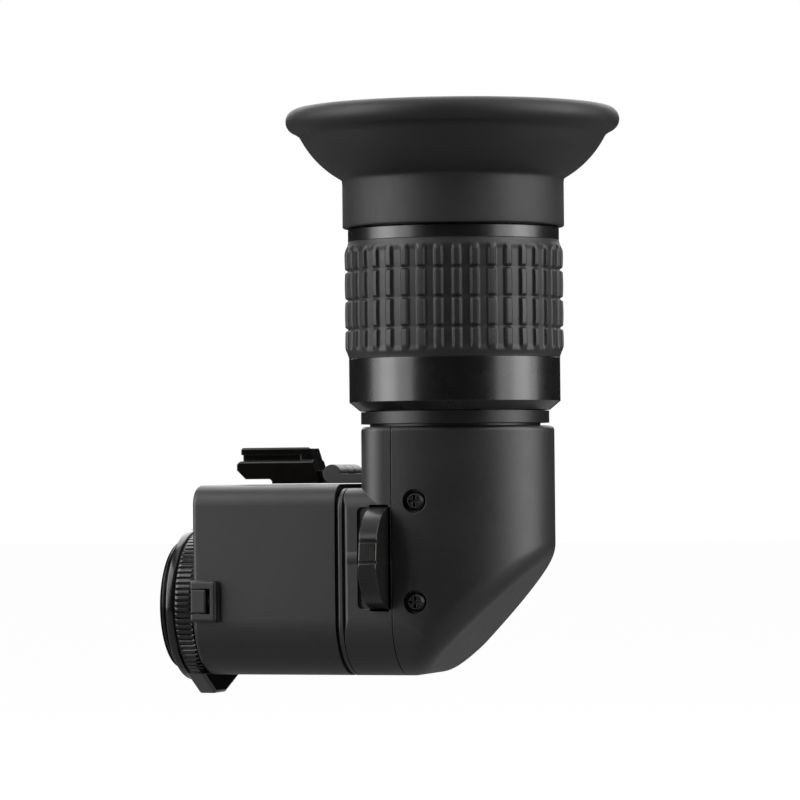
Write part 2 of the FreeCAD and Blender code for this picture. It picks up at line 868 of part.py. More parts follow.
def prism_bracket():
    top = tube_foot
    low = top - bracket_plate
    plate = cyl(tube_r, bracket_plate, (axis_x, 0, low))
    front = axis_x - prism_leg
    plate = plate.common(box((front, -half_width, low), (axis_x + half_width, half_width, top)))
    inner = prism_half + clear_gap
    cheeks = []
    for side in (1, -1):
        y0, y1 = sorted((side * inner, side * (inner + cheek)))
        slab = box((front, y0, -body_bottom / 2), (bracket_end, y1, low + clear_gap))
        cheeks.append(slab.cut(below_cut(ridge_offset)))
    shape = fused(plate, *cheeks)
    shape = shape.cut(cyl(bracket_hole, 3 * bracket_plate, (axis_x, 0, low - bracket_plate)))
    for at in bracket_screw_places():
        shape = shape.cut(cyl(shank_r + clear_gap, 3 * bracket_plate, (at[0], at[1], low - bracket_plate)))
    return shape


def bracket_screw_places():
    r = (stop_r + tube_flange_r) / 2
    turns = [math.radians(a) for a in bracket_angles]
    return [(axis_x + r * math.cos(a), r * math.sin(a)) for a in turns]


def bracket_screws():
    z = tube_foot - bracket_plate - head_len
    places = bracket_screw_places()
    return Part.makeCompound([screw((x, y, z), (0, 0, 1), bracket_screw_len) for x, y in places])


def prism_clip():
    # A flat spring strip across the prism's top edge, resting on it between the cheeks.
    top = prism_leg + seat_gap
    x = axis_x + prism_leg - clip_strip_back
    return box((x, -prism_half, top), (x + clip_strip, prism_half, top + clip_strip_thick))


# ---- magnification lever ----

def lever_turned(shape, degrees):
    shape.rotate(Vec(0, lever_y, lever_z), X, degrees)
    return shape


def selector_lever():
    disc = cyl(lever_r, lever_len, (lever_x, lever_y, lever_z), X)
    inner_edge = lever_y + lever_inside
    disc = disc.common(box((lever_x, -3 * half_width, lever_z - lever_r),
                           (lever_x + lever_len, inner_edge, lever_z + lever_r)))
    # the thumb face is flat, with two cross grooves
    flat = box((lever_x - 1, lever_y - 2 * lever_r, lever_z - lever_r),
               (lever_x + lever_len + 1, lever_y - grip_flat, lever_z + lever_r))
    disc = disc.cut(lever_turned(flat, -lever_tilt))
    sides = (lever_x, lever_x + lever_len)
    disc = rounded(disc, lever_round, lambda e: middle(e).y < -half_width and
                   min(abs(middle(e).x - x) for x in sides) < 0.01 and
                   e.BoundBox.YMax < -half_width - grip_groove_deep)
    for step in (-0.5, 0.5):
        z = lever_z + step * grip_pitch
        cut = box((lever_x - 1, lever_y - grip_flat - 1, z - grip_groove / 2),
                  (lever_x + lever_len + 1, lever_y - grip_flat + grip_groove_deep, z + grip_groove / 2))
        disc = disc.cut(lever_turned(cut, -lever_tilt))
    disc = disc.cut(cyl(shaft_r + seat_gap, 2 * lever_len, (lever_x - 1, lever_y, lever_z), X))
    for y, z in arm_screw_places():
        disc = disc.cut(cyl(arm_screw_r + seat_gap, 2 * lever_len, (lever_x - 1, y, z), X))
    return disc


def arm_way():
    # From the lever's shaft to the light's axis, and square to it.
    along = Vec(0, -lever_y, -lever_z)
    along.normalize()
    return along, Vec(0, -along.z, along.y)


def arm_screw_places():
    along, across = arm_way()
    mid = Vec(0, lever_y, lever_z) + along * (lever_inside - arm_screw_in)
    places = [mid + across * s for s in (-arm_screw_apart, arm_screw_apart)]
    return [(p.y, p.z) for p in places]


def swing_arm():
    x0 = lever_x - arm_len
    rim = cyl(swing_lens_r + swing_rim, arm_len + arm_rim, (x0 - arm_rim, 0, 0), X)
    along, across = arm_way()
    base = Vec(x0, lever_y, lever_z)
    start = base + along * (lever_inside - arm_foot)
    end = base + along * (math.hypot(lever_y, lever_z) - swing_lens_r)
    wide = across * arm_wide
    narrow = wide * arm_narrow
    strip = polygon([start - wide, end - narrow, end + narrow, start + wide]).extrude(Vec(arm_len, 0, 0))
    shape = fused(rim, strip)
    shape = shape.cut(cyl(swing_lens_r, 3 * arm_len, (x0 - arm_len, 0, 0), X))
    for y, z in arm_screw_places():
        shape = shape.cut(cyl(arm_screw_r + seat_gap, 3 * arm_len, (x0 - arm_len, y, z), X))
    return shape


def arm_screws():
    parts = []
    for y, z in arm_screw_places():
        head = cyl(arm_head_r, arm_head_len, (lever_x - arm_len - arm_head_len, y, z), X)
        shank = cyl(arm_screw_r, arm_len + arm_screw_bite, (lever_x - arm_len, y, z), X)
        parts.append(fused(head, shank))
    return Part.makeCompound(parts)


def swing_lens():
    at = (lever_x - arm_len - arm_rim, 0, 0)
    return lens(swing_lens_r - seat_gap, swing_lens_len, at, X, swing_bulge)


def lever_shaft():
    start = front_x + wall + face_gap
    return cyl(shaft_r, lever_x + lever_len - start, (start, lever_y, lever_z), X)


def lever_bush():
    start = front_x + wall + face_gap
    length = lever_x - face_gap - start
    return ring(shaft_r + bush_wall, shaft_r + run_gap, length, (start, lever_y, lever_z), X)


# ---- flip clip ----

def clip_shoe():
    z0 = clip_base
    full = [(clip_left + clip_end_slant, z0), (clip_right, z0), (clip_right - clip_slant, clip_top),
            (clip_left + clip_step, clip_top), (clip_left + clip_step, clip_lip),
            (clip_left, clip_lip - clip_step), (clip_left, clip_lip - clip_lip_drop)]
    shape = polygon([(x, -clip_half, z) for x, z in full]).extrude(Vec(0, 2 * clip_half, 0))
    under = box((clip_left - 1, -clip_half - 1, z0 - 1),
                (clip_undercut, clip_half + 1, z0 + clip_undercut_high))
    under = rounded(under, clip_step, lambda e: abs(middle(e).x - clip_undercut) < 0.01 and
                    abs(middle(e).z - z0 - clip_undercut_high) < 0.01)
    shape = shape.cut(under)
    for side in (1, -1):
        # the upper lip stands back from the lower one, with a slot between them
        step = sorted((side * (clip_half - clip_setback), side * (clip_half + 1)))
        shape = shape.cut(box((clip_left - 1, step[0], clip_lip), (clip_right + 1, step[1], clip_top + 1)))
        deep = sorted((side * (clip_half - clip_slot_deep), side * (clip_half + 1)))
        slot = box((clip_left - 1, deep[0], clip_lip),
                   (clip_right - clip_slant - clip_slot_end, deep[1], clip_lip + clip_slot))
        shape = shape.cut(slot)
    shape = rounded(shape, clip_lip_round, lambda e: abs(abs(middle(e).y) - clip_half) < 0.01 and
                    abs(middle(e).z - clip_lip) < 0.01)
    shape = rounded(shape, clip_top_round, lambda e: abs(middle(e).z - clip_top) < 0.01)
    # the arm is let into the back
    half = arm_half + run_gap
    pocket = box((clip_right - arm_let_in, -half, z0 - 1), (clip_right + 1, half, z0 + arm_thick))
    return shape.cut(pocket)


def clip_arm():
    half = arm_half
    bar = box((clip_right - arm_let_in, -half, clip_base),
              (hinge_x, half, clip_base + arm_thick - seat_gap))
    barrel = cyl(knuckle_r, 2 * half, (hinge_x, -half, hinge_z), Y)
    shape = fused(bar, barrel)
    return shape.cut(cyl(hinge_pin_r + run_gap, 4 * half, (hinge_x, -2 * half, hinge_z), Y))


def pin_form(r):
    return cyl(r, 2 * knuckle_half - pin_short, (hinge_x, pin_short - knuckle_half, hinge_z), Y)


def hinge_pin():
    return pin_form(hinge_pin_r)


# ---- eyepiece ----

def eyepiece_tube():
    profile = [(stop_r, tube_foot), (tube_flange_r, tube_foot),
               (tube_flange_r, column_top - wall - seat_gap),
               (tube_r, column_top - wall - seat_gap), (tube_r, column_top),
               (neck_r - groove_deep, column_top), (neck_r - groove_deep, neck_z), (neck_r, neck_z),
               (neck_r, neck_top - face_gap), (tube_r, neck_top - face_gap), (tube_r, tube_top),
               (tube_bore, tube_top), (tube_bore, tube_foot + stop_len), (stop_r, tube_foot + stop_len)]
    shape = turned(profile, (axis_x, 0, 0))
    # a flat inside the body keeps it from turning
    flat = box((axis_x - 2 * tube_r, -tube_r, tube_foot - 1),
               (axis_x - tube_flat, tube_r, column_top))
    shape = shape.cut(flat)
    # straight slot that lets the drive pin run up and down without turning
    half = pin_r + groove_play / 2
    reach = eye_travel + half + end_play
    slot = box((axis_x + tube_bore - 1, -half, pin_z - reach), (axis_x + tube_r + 1, half, pin_z + reach))
    shape = shape.cut(slot)
    for x, y in bracket_screw_places():
        shape = shape.cut(cyl(shank_r + seat_gap, bracket_screw_len, (x, y, tube_foot)))
    return shape


def field_lens():
    return lens(tube_bore - seat_gap, field_len, (axis_x, 0, tube_foot + stop_len), Z, field_bulge)


def field_retainer():
    at = (axis_x, 0, tube_foot + stop_len + field_len)
    return ring(tube_bore - seat_gap, tube_bore - field_ring_wide, field_ring_len, at)


def tube_cap():
    return ring(cap_r, stop_r + spacer_wide, cap_len, (axis_x, 0, tube_top))


def dioptre_sleeve():
    bore = tube_r + run_gap
    low = neck_top
    well = cap_r + face_gap
    seat_r = grip_r - grip_skin - run_gap
    seat_low = grip_low - run_gap
    seat_high = grip_low + grip_len + run_gap
    inner_end = tube_top - clear_gap
    profile = [(bore, low), (sleeve_r - 1.2 * sleeve_chamfer, low), (sleeve_r, low + sleeve_chamfer),
               (sleeve_r, seat_low), (seat_r, seat_low), (seat_r, seat_high), (sleeve_r, seat_high),
               (sleeve_r, sleeve_shoulder - sleeve_edge), (sleeve_r - sleeve_edge, sleeve_shoulder),
               (spigot_r, sleeve_shoulder), (spigot_r, sleeve_top), (well, sleeve_top),
               (well, inner_end), (bore, inner_end)]
    shape = turned(profile, (axis_x, 0, 0))
    # helical groove for the drive pin, cut a little at a time
    steps = []
    reach = dioptre_turn + groove_past
    for i in range(groove_steps + 1):
        angle = -reach + 2 * reach * i / groove_steps
        z = pin_z - cam_rise * math.radians(angle)
        cut = cyl(pin_r + groove_play, pin_past + 3 * clear_gap, (axis_x + tube_r - 2 * clear_gap, 0, z), X)
        cut.rotate(Vec(axis_x, 0, 0), Z, angle)
        steps.append(cut)
    return shape.cut(steps[0].multiFuse(steps[1:]))


def rubber_grip():
    centre = (axis_x, 0, grip_low)
    edge = grip_edge
    inner = grip_r - grip_skin
    profile = [(inner, 0), (grip_r - edge, 0), (grip_r, edge), (grip_r, grip_len - edge),
               (grip_r - edge, grip_len), (inner, grip_len)]
    shape = turned(profile, centre)
    cuts = []
    for i in range(rib_count):
        one = box((axis_x + grip_r - rib_depth, -rib_groove / 2, grip_low + grip_band),
                  (axis_x + grip_r + 1, rib_groove / 2, grip_low + grip_len - grip_band))
        one.rotate(Vec(axis_x, 0, 0), Z, 360.0 * (i + 0.5) / rib_count)
        cuts.append(one)
    shape = shape.cut(Part.makeCompound(cuts))
    for row in range(notch_rows):
        z = grip_low + grip_len * (row + 1) / (notch_rows + 1)
        notch = ring(grip_r + 1, grip_r - notch_depth, notch_len, (axis_x, 0, z - notch_len / 2))
        shape = shape.cut(notch)
    return shape


def rim_ring():
    well = cap_r + face_gap - seat_gap
    low = tube_top + cap_len + face_gap
    return ring(well, rim_bore, sleeve_top - low, (axis_x, 0, low))


def eyecup():
    low = cup_low
    shoulder = low + cup_straight
    inner = spigot_r + seat_gap
    floor = sleeve_top + seat_gap
    top = lip_z + lip_tube
    lip_c = lip_r - lip_tube
    mid = ((cup_r + cup_bowl_r) / 2 + cup_bow * 0.7, (shoulder + cup_bowl_z) / 2 - cup_bow * 0.7)

    def at(r, z):
        return (axis_x + r, 0, z)

    throat = cup_r - cup_thick
    mouth = rim_bore + mouth_step
    inside = cup_bowl_r - cup_skin - 2 * clear_gap
    k = math.sqrt(0.5) * lip_tube
    start = (lip_c + free_gap, lip_z - lip_tube + run_gap)
    edges = [line(at(inner, low), at(cup_r, low)), line(at(cup_r, low), at(cup_r, shoulder))]
    edges.append(arc(at(cup_r, shoulder), at(*mid), at(cup_bowl_r, cup_bowl_z)))
    edges.append(line(at(cup_bowl_r, cup_bowl_z), at(*start)))
    edges.append(arc(at(*start), at(lip_r, lip_z), at(lip_c, top)))
    edges.append(arc(at(lip_c, top), at(lip_c - k, lip_z + k), at(lip_c - lip_tube, lip_z)))
    edges.append(line(at(lip_c - lip_tube, lip_z), at(inside, cup_bowl_z)))
    edges.append(arc(at(inside, cup_bowl_z), at(mid[0] - cup_bowl_r + inside, mid[1] + cup_skin / 2),
                     at(throat, shoulder)))
    edges.append(line(at(throat, shoulder), at(throat, floor + cup_floor)))
    edges.append(line(at(throat, floor + cup_floor), at(mouth, floor + cup_floor)))
    edges.append(line(at(mouth, floor + cup_floor), at(mouth, floor)))
    edges.append(line(at(mouth, floor), at(inner, floor)))
    edges.append(line(at(inner, floor), at(inner, low)))
    face = Part.Face(Part.Wire(edges))
    return face.revolve(Vec(axis_x, 0, 0), Z, 360)


def eye_cell():
    outer = tube_bore - run_gap
    inner = outer - barrel_wall
    stop = inner - barrel_stop
    pieces = {}
    profile = [(stop, 0), (outer, 0), (outer, barrel_len), (inner, barrel_len), (inner, barrel_foot),
               (stop, barrel_foot)]
    barrel = turned(profile, (axis_x, 0, barrel_z))
    hole = cyl(pin_r + seat_gap, 2 * barrel_wall, (axis_x + inner - barrel_wall / 2, 0, pin_z), X)
    pieces["eye_lens_barrel"] = barrel.cut(hole)
    fit = inner - seat_gap
    z = barrel_z + barrel_foot
    pieces["inner_eye_lens"] = lens(fit, eye_lens_len, (axis_x, 0, z), Z, eye_lens_bulge)
    z += eye_lens_len
    pieces["lens_spacer"] = ring(fit, fit - spacer_wide, spacer_len, (axis_x, 0, z))
    z += spacer_len
    pieces["outer_eye_lens"] = lens(fit, eye_lens_len, (axis_x, 0, z), Z, eye_lens_bulge)
    z += eye_lens_len
    pieces["eye_lens_retainer"] = ring(fit, fit - spacer_wide, eye_ring_len, (axis_x, 0, z))
    pieces["drive_pin"] = cyl(pin_r, tube_r + pin_past - inner, (axis_x + inner, 0, pin_z), X)
    return pieces


def build():
    nodes = {
        "mounting_ring": mounting_ring(), "hub_nut": hub_nut(), "friction_washer": friction_washer(),
        "mount_plate": mount_plate(), "objective_block": objective_block(),
        "objective_cell": objective_cell(), "cell_screws": cell_screws(),
        "lock_button": lock_button(), "button_spring": button_spring(),
        "seam_plate": seam_plate(), "seam_screws": seam_screws(),
        "front_shell": front_shell(), "rear_cover": rear_cover(), "cover_screws": cover_screws(),
        "roof_prism": roof_prism(), "prism_bracket": prism_bracket(),
        "bracket_screws": bracket_screws(), "prism_clip": prism_clip(),
        "selector_lever": selector_lever(), "swing_arm": swing_arm(), "arm_screws": arm_screws(),
        "swing_lens": swing_lens(), "lever_shaft": lever_shaft(), "lever_bush": lever_bush(),
        "clip_shoe": clip_shoe(), "clip_arm": clip_arm(), "hinge_pin": hinge_pin(),
        "eyepiece_tube": eyepiece_tube(), "field_lens": field_lens(), "field_retainer": field_retainer(),
        "tube_cap": tube_cap(), "dioptre_sleeve": dioptre_sleeve(), "rubber_grip": rubber_grip(),
        "rim_ring": rim_ring(), "eyecup": eyecup()}
    nodes.update(cell_rings())
    nodes.update(eye_cell())
    return nodes


os.makedirs("parts", exist_ok=True)
for name, shape in build().items():
    solids = shape.Solids
    if not shape.isValid() or not solids:
        print("NOT VALID", name)
    print(name, len(solids), round(shape.Volume, 1), [round(v, 2) for v in (
        shape.BoundBox.XMin, shape.BoundBox.XMax, shape.BoundBox.YMin,
        shape.BoundBox.YMax, shape.BoundBox.ZMin, shape.BoundBox.ZMax)])
    shape.exportStep("parts/" + name + ".step")
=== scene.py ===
import json
import math

import bmesh
import bpy
from mathutils import Matrix, Vector


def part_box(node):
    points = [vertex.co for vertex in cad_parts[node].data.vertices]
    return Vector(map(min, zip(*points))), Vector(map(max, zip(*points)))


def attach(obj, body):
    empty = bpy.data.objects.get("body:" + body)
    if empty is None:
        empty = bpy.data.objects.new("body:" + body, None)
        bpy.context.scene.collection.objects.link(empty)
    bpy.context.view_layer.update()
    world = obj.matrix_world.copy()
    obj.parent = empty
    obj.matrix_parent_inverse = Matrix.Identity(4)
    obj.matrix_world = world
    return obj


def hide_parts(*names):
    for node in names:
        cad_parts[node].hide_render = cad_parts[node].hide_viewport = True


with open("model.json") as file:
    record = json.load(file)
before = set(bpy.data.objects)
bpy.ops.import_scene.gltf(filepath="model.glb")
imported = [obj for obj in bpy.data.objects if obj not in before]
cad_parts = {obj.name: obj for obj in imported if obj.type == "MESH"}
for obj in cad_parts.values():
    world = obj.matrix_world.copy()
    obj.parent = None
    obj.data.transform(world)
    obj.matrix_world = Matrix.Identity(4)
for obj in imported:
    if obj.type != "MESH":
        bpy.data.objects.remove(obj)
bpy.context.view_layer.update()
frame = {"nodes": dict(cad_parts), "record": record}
nodes = frame["nodes"]
mm = 0.001
print("frame loaded:", len(nodes), "parts")


def middleOf(name):
    low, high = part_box(name)
    return (low + high) / 2


# places that everything else is worked out from
eyeAxisX = middleOf("eyepiece_tube").x
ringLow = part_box("mounting_ring")[0]
gripLow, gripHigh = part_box("rubber_grip")
cupLow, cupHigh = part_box("eyecup")


# ---------- shader groups ----------

def newGroup(name, inputs, outputs):
    group = bpy.data.node_groups.new(name, "ShaderNodeTree")
    for label, value in inputs:
        socket = group.interface.new_socket(name=label, in_out="INPUT", socket_type="NodeSocketFloat")
        socket.default_value = value
    for label in outputs:
        group.interface.new_socket(name=label, in_out="OUTPUT", socket_type="NodeSocketFloat")
    start = group.nodes.new("NodeGroupInput")
    end = group.nodes.new("NodeGroupOutput")
    return group, start, end


def add(tree, kind, **settings):
    node = tree.nodes.new(kind)
    for name, value in settings.items():
        setattr(node, name, value)
    return node


def feed(tree, socket, value):
    # a number or colour goes on the socket, another socket is linked to it
    if isinstance(value, bpy.types.NodeSocket):
        tree.links.new(value, socket)
    else:
        socket.default_value = value


def maths(tree, operation, a, b=0.0, clamp=False):
    node = add(tree, "ShaderNodeMath", operation=operation, use_clamp=clamp)
    feed(tree, node.inputs[0], a)
    feed(tree, node.inputs[1], b)
    return node.outputs[0]


def noise(tree, scale, detail=2.0, rough=0.5, where=None):
    node = add(tree, "ShaderNodeTexNoise")
    feed(tree, node.inputs["Scale"], scale)
    feed(tree, node.inputs["Detail"], detail)
    feed(tree, node.inputs["Roughness"], rough)
    if where is None:
        where = add(tree, "ShaderNodeTexCoord").outputs["Object"]
    tree.links.new(where, node.inputs["Vector"])
    return node.outputs["Fac"]


def spread(tree, value, low, high, toLow=0.0, toHigh=1.0):
    node = add(tree, "ShaderNodeMapRange")
    feed(tree, node.inputs["Value"], value)
    feed(tree, node.inputs["From Min"], low)
    feed(tree, node.inputs["From Max"], high)
    feed(tree, node.inputs["To Min"], toLow)
    feed(tree, node.inputs["To Max"], toHigh)
    return node.outputs["Result"]


grainLook = {"clumpScale": 0.35, "clumpDetail": 3.0, "clumpRough": 0.6}


def makeFineGrain():
    # the tiny pebbles of sprayed paint or moulded rubber
    look = grainLook
    group, start, end = newGroup("fineGrain", [("Scale", 4000.0), ("Clump", 0.4)], ["Height"])
    cells = add(group, "ShaderNodeTexVoronoi", feature="SMOOTH_F1")
    where = add(group, "ShaderNodeTexCoord").outputs["Object"]
    group.links.new(where, cells.inputs["Vector"])
    feed(group, cells.inputs["Scale"], start.outputs["Scale"])
    clumpScale = maths(group, "MULTIPLY", start.outputs["Scale"], look["clumpScale"])
    clumps = noise(group, clumpScale, look["clumpDetail"], look["clumpRough"])
    low = maths(group, "MULTIPLY", clumps, start.outputs["Clump"])
    feed(group, end.inputs["Height"], maths(group, "ADD", cells.outputs["Distance"], low))
    return group


rubLook = {
    "samples": 4, "flat": 0.985, "sharp": 0.80,      # how far the two normals agree
    "patchDetail": 4.0, "patchRough": 0.65, "patchLow": 0.35, "patchHigh": 0.65}


def makeRubbedEdge():
    # bare or polished edges, from the difference between the true and a rounded normal
    look = rubLook
    inputs = [("Width", 0.0004), ("Amount", 1.0), ("Patch", 300.0)]
    group, start, end = newGroup("rubbedEdge", inputs, ["Mask"])
    soft = add(group, "ShaderNodeBevel", samples=look["samples"])
    feed(group, soft.inputs["Radius"], start.outputs["Width"])
    flat = add(group, "ShaderNodeNewGeometry")
    dot = add(group, "ShaderNodeVectorMath", operation="DOT_PRODUCT")
    group.links.new(soft.outputs["Normal"], dot.inputs[0])
    group.links.new(flat.outputs["Normal"], dot.inputs[1])
    edge = spread(group, dot.outputs["Value"], look["flat"], look["sharp"])
    clouds = noise(group, start.outputs["Patch"], look["patchDetail"], look["patchRough"])
    patch = spread(group, clouds, look["patchLow"], look["patchHigh"])
    worn = maths(group, "MULTIPLY", edge, patch)
    feed(group, end.inputs["Mask"], maths(group, "MULTIPLY", worn, start.outputs["Amount"], True))
    return group


softEdgeSamples = 6


def makeSoftEdge():
    # the small rounds that every moulded or machined edge has
    group, start, end = newGroup("softEdge", [("Width", 0.00012)], [])
    group.interface.new_socket(name="Normal", in_out="OUTPUT", socket_type="NodeSocketVector")
    soft = add(group, "ShaderNodeBevel", samples=softEdgeSamples)
    feed(group, soft.inputs["Radius"], start.outputs["Width"])
    feed(group, end.inputs["Normal"], soft.outputs["Normal"])
    return group


dustLook = {
    "tilt": -0.2, "sideShare": 0.12,                 # what still settles on a wall
    "speckDetail": 2.0, "speckRough": 0.7, "speckLow": 0.66, "speckHigh": 0.74,
    "veilScale": 90.0, "veilDetail": 4.0, "veilRough": 0.6,
    "veilLow": 0.35, "veilHigh": 0.8, "veilShare": 0.25}


def makeSettledDust():
    # specks and a thin veil on what faces up
    look = dustLook
    group, start, end = newGroup("settledDust", [("Amount", 0.3), ("Speck", 1500.0)], ["Mask"])
    flat = add(group, "ShaderNodeNewGeometry")
    split = add(group, "ShaderNodeSeparateXYZ")
    group.links.new(flat.outputs["Normal"], split.inputs[0])
    up = spread(group, split.outputs["Z"], look["tilt"], 1.0, look["sideShare"], 1.0)
    dots = noise(group, start.outputs["Speck"], look["speckDetail"], look["speckRough"])
    speck = spread(group, dots, look["speckLow"], look["speckHigh"])
    clouds = noise(group, look["veilScale"], look["veilDetail"], look["veilRough"])
    veil = spread(group, clouds, look["veilLow"], look["veilHigh"], 0.0, look["veilShare"])
    settled = maths(group, "MULTIPLY", maths(group, "ADD", speck, veil, True), up)
    feed(group, end.inputs["Mask"], maths(group, "MULTIPLY", settled, start.outputs["Amount"]))
    return group


handlingLook = {
    "detail": 3.0, "rough": 0.55, "fineScale": 9.0, "fineDetail": 2.0, "fineRough": 0.6,
    "largeShare": 0.75, "fineShare": 0.25, "low": 0.36, "high": 0.64}


def makeHandling():
    # uneven sheen where fingers have been
    look = handlingLook
    group, start, end = newGroup("handling", [("Scale", 120.0), ("Low", 0.3), ("High", 0.5)], ["Value"])
    large = noise(group, start.outputs["Scale"], look["detail"], look["rough"])
    fineScale = maths(group, "MULTIPLY", start.outputs["Scale"], look["fineScale"])
    fine = noise(group, fineScale, look["fineDetail"], look["fineRough"])
    largePart = maths(group, "MULTIPLY", large, look["largeShare"])
    both = maths(group, "ADD", largePart, maths(group, "MULTIPLY", fine, look["fineShare"]))
    value = spread(group, both, look["low"], look["high"], start.outputs["Low"], start.outputs["High"])
    feed(group, end.inputs["Value"], value)
    return group


latheLook = {"detail": 3.0, "rough": 0.7}


def makeTurnedLines():
    # fine rings left by a lathe, along one axis chosen by the two shares
    inputs = [("Scale", 9000.0), ("Along Z", 1.0), ("Along X", 0.0)]
    group, start, end = newGroup("turnedLines", inputs, ["Height"])
    where = add(group, "ShaderNodeTexCoord").outputs["Object"]
    split = add(group, "ShaderNodeSeparateXYZ")
    group.links.new(where, split.inputs[0])
    z = maths(group, "MULTIPLY", split.outputs["Z"], start.outputs["Along Z"])
    x = maths(group, "MULTIPLY", split.outputs["X"], start.outputs["Along X"])
    join = add(group, "ShaderNodeCombineXYZ")
    feed(group, join.inputs["X"], maths(group, "ADD", z, x))
    lines = noise(group, start.outputs["Scale"], latheLook["detail"], latheLook["rough"], join.outputs[0])
    feed(group, end.inputs["Height"], lines)
    return group


groups = {"fineGrain": makeFineGrain(), "rubbedEdge": makeRubbedEdge(), "settledDust": makeSettledDust(),
          "handling": makeHandling(), "turnedLines": makeTurnedLines(), "softEdge": makeSoftEdge()}
print("shader groups:", ", ".join(groups))


# ---------- materials ----------

def useGroup(tree, name, **values):
    node = add(tree, "ShaderNodeGroup", node_tree=groups[name])
    for label, value in values.items():
        feed(tree, node.inputs[label.replace("_", " ")], value)
    return node.outputs[0]


def mixColour(tree, amount, first, second):
    node = add(tree, "ShaderNodeMix", data_type="RGBA")
    feed(tree, node.inputs[0], amount)
    feed(tree, node.inputs[6], first)
    feed(tree, node.inputs[7], second)
    return node.outputs[2]


def bump(tree, height, strength, distance, width):
    node = add(tree, "ShaderNodeBump")
    feed(tree, node.inputs["Normal"], useGroup(tree, "softEdge", Width=width))
    feed(tree, node.inputs["Strength"], strength)
    feed(tree, node.inputs["Distance"], distance)
    tree.links.new(height, node.inputs["Height"])
    return node.outputs["Normal"]


def grey(level, warm=0.0):
    return (level * (1 + warm), level, level * (1 - warm), 1.0)


def startMaterial(name, finish):
    made = bpy.data.materials.new(name)
    made.use_nodes = True
    tree = made.node_tree
    shader = tree.nodes["Principled BSDF"]
    for label, value in finish.items():
        shader.inputs[label].default_value = value
    return made, tree, shader


dustTone = {"grey": 0.34, "warm": 0.04, "roughen": 0.5}


def blackFinish(name, look):
    # every black finish: two close tones, uneven sheen, grain, rubbed edges and a little dust
    made, tree, shader = startMaterial(name, look["shader"])
    tone = useGroup(tree, "handling", Scale=look["toneScale"], Low=0.0, High=1.0)
    colour = mixColour(tree, tone, grey(look["dark"], look["warm"]), grey(look["light"], look["warm"]))
    worn = useGroup(tree, "rubbedEdge", Width=look["edgeWidth"], Amount=look["edgeWear"],
                    Patch=look["edgePatch"])
    colour = mixColour(tree, worn, colour, grey(look["edgeTone"]))
    dust = useGroup(tree, "settledDust", Amount=look["dust"], Speck=look["dustSpeck"])
    colour = mixColour(tree, dust, colour, grey(dustTone["grey"], dustTone["warm"]))
    feed(tree, shader.inputs["Base Color"], colour)
    sheen = useGroup(tree, "handling", Scale=look["sheenScale"], Low=look["roughLow"],
                     High=look["roughHigh"])
    rough = maths(tree, "ADD", sheen, maths(tree, "MULTIPLY", dust, dustTone["roughen"]), True)
    feed(tree, shader.inputs["Roughness"], rough)
    grain = useGroup(tree, "fineGrain", Scale=look["grainScale"], Clump=look["grainClump"])
    if look.get("turned"):
        lines = useGroup(tree, "turnedLines", **look["turned"])
        grain = maths(tree, "ADD", maths(tree, "MULTIPLY", grain, look["grainShare"]), lines)
    relief = bump(tree, grain, look["bump"], look["bumpHeight"], look["edgeRound"])
    feed(tree, shader.inputs["Normal"], relief)
    return made


shellPaint = {
    "shader": {"Metallic": 0.0, "IOR": 1.62, "Coat Weight": 0.0},
    "dark": 0.009, "light": 0.013, "warm": 0.0, "toneScale": 60.0,
    "edgeRound": 0.00015, "edgeWidth": 0.0003, "edgeWear": 0.16, "edgePatch": 350.0, "edgeTone": 0.09,
    "dust": 0.05, "dustSpeck": 1800.0,
    "sheenScale": 70.0, "roughLow": 0.42, "roughHigh": 0.48,
    "grainScale": 5200.0, "grainClump": 0.8, "bump": 0.22, "bumpHeight": 0.00004}

sleeveGloss = {
    "shader": {"Metallic": 0.0, "IOR": 1.62, "Coat Weight": 0.15, "Coat Roughness": 0.15},
    "dark": 0.004, "light": 0.007, "warm": 0.02, "toneScale": 40.0,
    "edgeRound": 0.00015, "edgeWidth": 0.0003, "edgeWear": 0.2, "edgePatch": 300.0, "edgeTone": 0.12,
    "dust": 0.03, "dustSpeck": 2200.0,
    "sheenScale": 55.0, "roughLow": 0.24, "roughHigh": 0.31,
    "grainScale": 9000.0, "grainClump": 0.3, "grainShare": 0.2, "bump": 0.12, "bumpHeight": 0.00001,
    "turned": {"Scale": 9000.0, "Along_Z": 1.0, "Along_X": 0.0}}

ringGloss = {
    "shader": {"Metallic": 0.0, "IOR": 1.55, "Coat Weight": 0.2, "Coat Roughness": 0.15},
    "dark": 0.004, "light": 0.008, "warm": 0.02, "toneScale": 90.0,
    "edgeRound": 0.00007, "edgeWidth": 0.00015, "edgeWear": 0.35, "edgePatch": 500.0, "edgeTone": 0.2,
    "dust": 0.03, "dustSpeck": 2400.0,
    "sheenScale": 90.0, "roughLow": 0.15, "roughHigh": 0.23,
    "grainScale": 9000.0, "grainClump": 0.3, "grainShare": 0.2, "bump": 0.12, "bumpHeight": 0.00001,
    "turned": {"Scale": 9000.0, "Along_Z": 0.0, "Along_X": 1.0}}

tubeSatin = dict(sleeveGloss, dark=0.008, light=0.012, roughLow=0.33, roughHigh=0.40,
                 shader={"Metallic": 0.0, "IOR": 1.48, "Coat Weight": 0.0})

